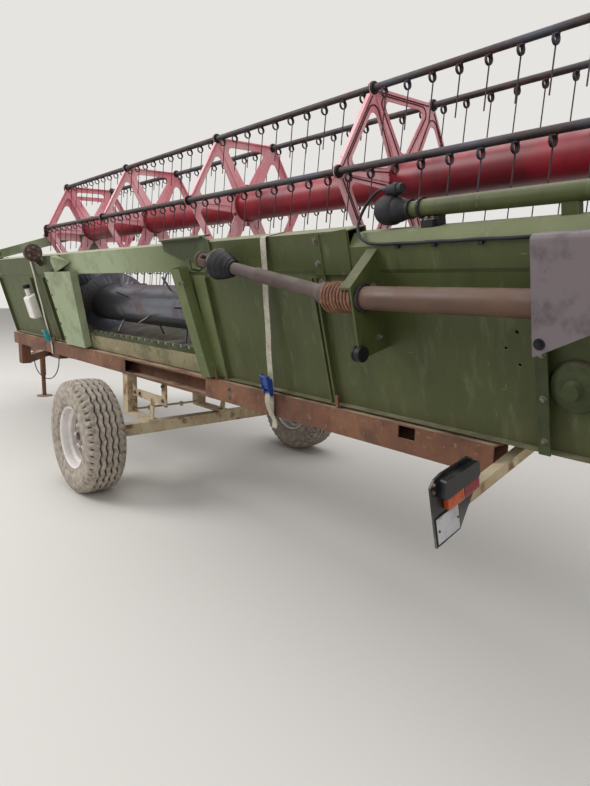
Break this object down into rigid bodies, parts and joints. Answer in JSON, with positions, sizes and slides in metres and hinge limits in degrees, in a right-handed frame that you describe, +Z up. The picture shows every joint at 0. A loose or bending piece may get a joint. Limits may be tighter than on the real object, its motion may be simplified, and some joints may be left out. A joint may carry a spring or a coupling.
{
  "type": "grain header on a transport trailer",
  "caption": "Grain header with a pick-up reel, auger and knife bar, lying on a two-wheel transport trailer with drawbar, parking jack and tail lamps.",
  "frame": {"origin": "on the floor, below the middle of the whole unit's box", "axes": "+X along the header away from the drawbar, +Y ahead of the knife, +Z up"},
  "size_m": [8.03, 2.154, 2.4752],
  "materials": {
    "green_paint": "sun-faded satin paint over sheet steel",
    "green_worn": "worn dark green paint with dirt",
    "red_paint": "faded pink-red paint",
    "tine_steel": "dark brown paint and spring steel",
    "worn_steel": "worn bare steel",
    "rod_chrome": "polished rod",
    "rust_paint": "rusty brown frame",
    "lamp_plate": "dark board",
    "lens": "orange and red lenses",
    "tyre": "dusty black rubber",
    "rim_paint": "off-white paint",
    "guard_brown": "brown dusty guard",
    "bellows": "orange-brown ribbed rubber",
    "black_plastic": "black plastic",
    "cable": "black cable sheath",
    "cover_grey": "warm grey cover",
    "box_white": "white plastic",
    "webbing": "pale webbing"
  },
  "bodies": {
    "unit": {"rail_rear": "rust_paint", "rail_front": "rust_paint", "cross_frame": "rust_paint", "drawbar": "rust_paint", "tow_eye": "worn_steel", "jack": "rust_paint", "axle": "rust_paint", "light_bar": "rust_paint", "lamp_board": "lamp_plate", "lamp_lenses": "lens", "wall_left": "green_paint", "wall_right": "green_paint", "top_beam": "green_paint", "bottom_beam": "green_worn", "table_floor": "green_paint", "feeder_posts": "green_paint", "stripper_bar": "green_worn", "end_plate_left": "green_paint", "end_plate_right": "green_paint", "divider_left": "green_paint", "divider_right": "green_paint", "cutter_bar": "green_worn", "shaft_guard": "guard_brown", "shaft_bracket": "green_paint", "bellows": "bellows", "drive_shaft": "black_plastic", "shaft_hook": "green_worn", "drive_cover": "cover_grey", "end_dish": "green_worn", "top_tube": "green_paint", "tube_clamp": "black_plastic", "round_housing": "worn_steel", "boot": "black_plastic", "cable_top": "cable", "cable_front": "cable", "storage_box": "box_white", "straps": "webbing"},
    "wheel_left": {"tyre_left": "tyre", "rim_left": "rim_paint"},
    "wheel_right": {"tyre_right": "tyre", "rim_right": "rim_paint"},
    "auger": {"auger_tube": "worn_steel", "auger_flights": "worn_steel"},
    "knife": {"knife": "worn_steel"},
    "reel_arms": {"reel_arm_left": "green_paint", "reel_arm_right": "green_paint"},
    "reel": {"reel_frame": "red_paint"},
    "control": {"control_disc": "red_paint"},
    "barrel_left": {"lift_barrel_left": "worn_steel"},
    "rod_left": {"lift_rod_left": "rod_chrome"},
    "barrel_right": {"lift_barrel_right": "worn_steel"},
    "rod_right": {"lift_rod_right": "rod_chrome"},
    "bar_1": {"tine_bar_1": "tine_steel"},
    "bar_2": {"tine_bar_2": "tine_steel"},
    "bar_3": {"tine_bar_3": "tine_steel"},
    "bar_4": {"tine_bar_4": "tine_steel"},
    "bar_5": {"tine_bar_5": "tine_steel"},
    "bar_6": {"tine_bar_6": "tine_steel"}
  },
  "joints": [
    {"name": "wheel_left_turn", "type": "hinge", "parent": "unit", "child": "wheel_left", "pos_m": [0.665, 0.945, 0.38], "axis": [0, 1, 0], "continuous": true},
    {"name": "wheel_right_turn", "type": "hinge", "parent": "unit", "child": "wheel_right", "pos_m": [0.665, -0.945, 0.38], "axis": [0, 1, 0], "continuous": true},
    {"name": "auger_turn", "type": "hinge", "parent": "unit", "child": "auger", "pos_m": [0.705, -0.28753, 1.23483], "axis": [1, 0, 0], "continuous": true},
    {"name": "knife_stroke", "type": "slide", "parent": "unit", "child": "knife", "axis": [1, 0, 0], "range_m": [-0.0381, 0.0381]},
    {"name": "reel_lift", "type": "hinge", "parent": "unit", "child": "reel_arms", "pos_m": [0.705, -0.6529, 1.67114], "axis": [1, 0, 0], "range_deg": [0, 35]},
    {"name": "reel_turn", "type": "hinge", "parent": "reel_arms", "child": "reel", "pos_m": [0.705, 0.33144, 1.99097], "axis": [1, 0, 0], "continuous": true},
    {"name": "control_turn", "type": "hinge", "parent": "reel_arms", "child": "control", "pos_m": [0.705, 0.33144, 1.91097], "axis": [1, 0, 0], "continuous": true},
    {"name": "bar_1_turn", "type": "hinge", "parent": "reel", "child": "bar_1", "pos_m": [0.705, 0.84113, 2.00877], "axis": [1, 0, 0], "continuous": true},
    {"name": "bar_2_turn", "type": "hinge", "parent": "reel", "child": "bar_2", "pos_m": [0.705, 0.57087, 2.44127], "axis": [1, 0, 0], "continuous": true},
    {"name": "bar_3_turn", "type": "hinge", "parent": "reel", "child": "bar_3", "pos_m": [0.705, 0.06119, 2.42347], "axis": [1, 0, 0], "continuous": true},
    {"name": "bar_4_turn", "type": "hinge", "parent": "reel", "child": "bar_4", "pos_m": [0.705, -0.17825, 1.97317], "axis": [1, 0, 0], "continuous": true},
    {"name": "bar_5_turn", "type": "hinge", "parent": "reel", "child": "bar_5", "pos_m": [0.705, 0.09201, 1.54067], "axis": [1, 0, 0], "continuous": true},
    {"name": "bar_6_turn", "type": "hinge", "parent": "reel", "child": "bar_6", "pos_m": [0.705, 0.6017, 1.55846], "axis": [1, 0, 0], "continuous": true},
    {"name": "barrel_left_swing", "type": "hinge", "parent": "unit", "child": "barrel_left", "pos_m": [-2.486, -0.12313, 1.12359], "axis": [1, 0, 0], "range_deg": [-1, 9.17]},
    {"name": "rod_left_slide", "type": "slide", "parent": "barrel_left", "child": "rod_left", "axis": [0, -0.1186, 0.9929], "range_m": [-0.002, 0.2597]},
    {"name": "barrel_right_swing", "type": "hinge", "parent": "unit", "child": "barrel_right", "pos_m": [3.896, -0.12313, 1.12359], "axis": [1, 0, 0], "range_deg": [-1, 9.17]},
    {"name": "rod_right_slide", "type": "slide", "parent": "barrel_right", "child": "rod_right", "axis": [0, -0.1186, 0.9929], "range_m": [-0.002, 0.2597]}
  ],
  "couplings": [
    {"joint": "control_turn", "follows": "reel_turn", "ratio": 1},
    {"joint": "bar_1_turn", "follows": "reel_turn", "ratio": -1},
    {"joint": "bar_2_turn", "follows": "reel_turn", "ratio": -1},
    {"joint": "bar_3_turn", "follows": "reel_turn", "ratio": -1},
    {"joint": "bar_4_turn", "follows": "reel_turn", "ratio": -1},
    {"joint": "bar_5_turn", "follows": "reel_turn", "ratio": -1},
    {"joint": "bar_6_turn", "follows": "reel_turn", "ratio": -1},
    {"joint": "barrel_left_swing", "follows": "reel_lift", "ratio": 0.23329},
    {"joint": "rod_left_slide", "follows": "reel_lift", "m_per_rad": 0.42178},
    {"joint": "barrel_right_swing", "follows": "reel_lift", "ratio": 0.23329},
    {"joint": "rod_right_slide", "follows": "reel_lift", "m_per_rad": 0.42178}
  ]
}
